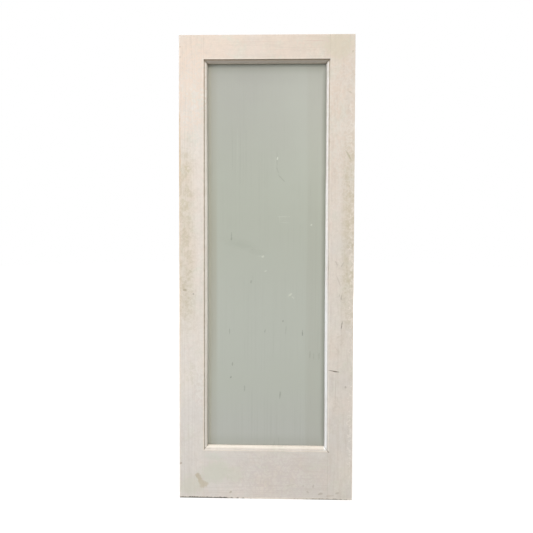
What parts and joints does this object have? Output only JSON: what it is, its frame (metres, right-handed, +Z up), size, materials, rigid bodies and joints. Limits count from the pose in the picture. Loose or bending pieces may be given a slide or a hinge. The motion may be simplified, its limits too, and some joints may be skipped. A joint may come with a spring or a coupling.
{
  "type": "single-light frosted glass door leaf",
  "caption": "Painted stile-and-rail door leaf with a single tall light of frosted glass, coped moulding behind and mitred glazing stops in front.",
  "frame": {"origin": "foot of the left-hand edge, in the middle of the leaf's thickness; the edge that hinges would be screwed to", "axes": "+Z up along the leaf's height; +X across the leaf, away from that edge; the front, with the loose stops, faces -Y"},
  "size_m": [0.762, 0.0444, 2.032],
  "materials": {
    "painted_wood": "aged off-white semi-gloss paint over softwood",
    "frosted_glass": "frosted, grey-green",
    "glazing_tape": "matt foam",
    "setting_block": "matt",
    "dowel_wood": "bare hardwood"
  },
  "bodies": {
    "root": {"left_stile": "painted_wood", "right_stile": "painted_wood", "top_rail": "painted_wood", "bottom_rail": "painted_wood", "stop_top": "painted_wood", "stop_bottom": "painted_wood", "stop_left": "painted_wood", "stop_right": "painted_wood", "glass_pane": "frosted_glass", "tape_front_top": "glazing_tape", "tape_front_bottom": "glazing_tape", "tape_front_left": "glazing_tape", "tape_front_right": "glazing_tape", "tape_back_top": "glazing_tape", "tape_back_bottom": "glazing_tape", "tape_back_left": "glazing_tape", "tape_back_right": "glazing_tape", "setting_block_left": "setting_block", "setting_block_right": "setting_block", "dowels_top_left": "dowel_wood", "dowels_top_right": "dowel_wood", "dowels_bottom_left": "dowel_wood", "dowels_bottom_right": "dowel_wood"}
  },
  "joints": []
}
